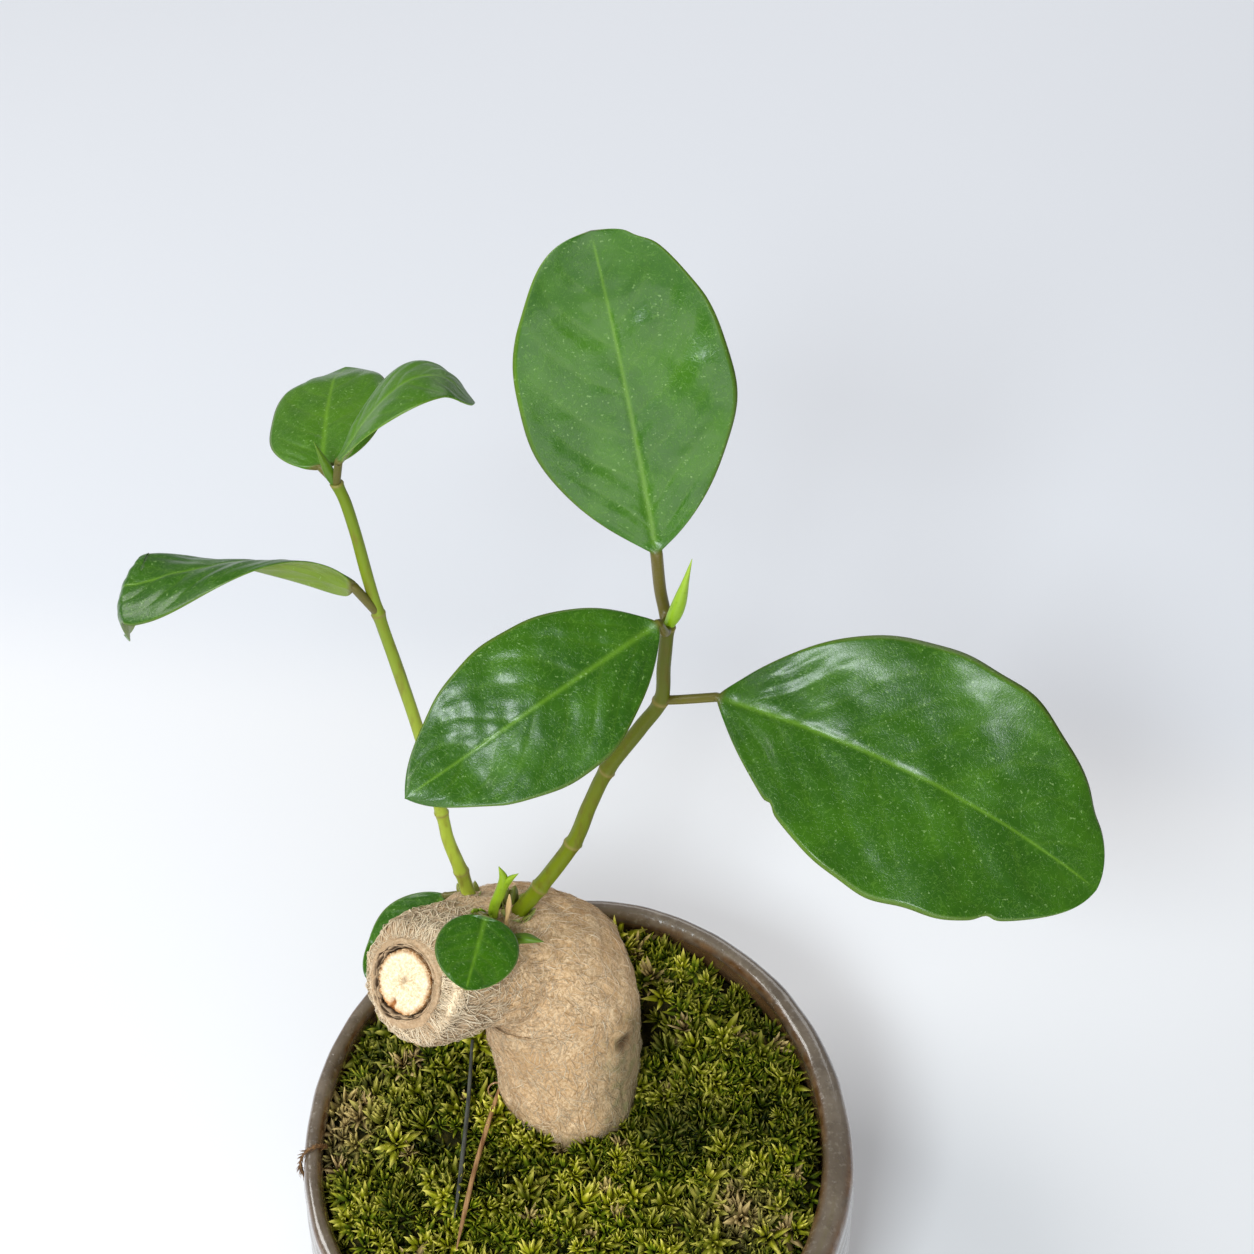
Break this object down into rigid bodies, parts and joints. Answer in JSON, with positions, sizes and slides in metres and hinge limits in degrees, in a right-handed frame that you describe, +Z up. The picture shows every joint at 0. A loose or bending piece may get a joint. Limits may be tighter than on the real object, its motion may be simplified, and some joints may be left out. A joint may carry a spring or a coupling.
{
  "type": "bonsai fig in a round glazed pot",
  "caption": "Small bonsai fig with a thick bent, sawn trunk, thin green shoots and glossy oval leaves, growing from moss in a round glazed pot.",
  "frame": {"origin": "centre of the pot's flat base, on the surface it stands on, on the pot's axis", "axes": "+Z up along the pot's axis; -Y is the side that is looked at, so the big leaf reaches to +X"},
  "size_m": [0.1525, 0.1162, 0.2276],
  "materials": {
    "glaze": "gloss",
    "mesh_plastic": "matte",
    "soil": "matte",
    "moss": "matte",
    "bark": "matte",
    "shoot_green": "satin",
    "leaf_green": "gloss",
    "bud_green": "satin",
    "dry_stalk": "matte",
    "needle_dark": "satin",
    "needle_brown": "satin",
    "dead_moss": "matte"
  },
  "bodies": {
    "root": {"pot": "glaze", "drain_mesh": "mesh_plastic", "soil": "soil", "moss": "moss", "trunk": "bark", "shoot_right": "shoot_green", "shoot_left": "shoot_green", "leaf_top": "leaf_green", "leaf_right": "leaf_green", "leaf_middle": "leaf_green", "leaf_far_left": "leaf_green", "leaf_left_back": "leaf_green", "leaf_left_front": "leaf_green", "leaf_small_front": "leaf_green", "leaf_small_back": "leaf_green", "bud_right": "bud_green", "bud_left": "bud_green", "young_sprout": "bud_green", "side_bud": "bud_green", "dead_stalk": "dry_stalk", "dark_needle": "needle_dark", "brown_needle": "needle_brown", "dead_moss_strand": "dead_moss"}
  },
  "joints": []
}
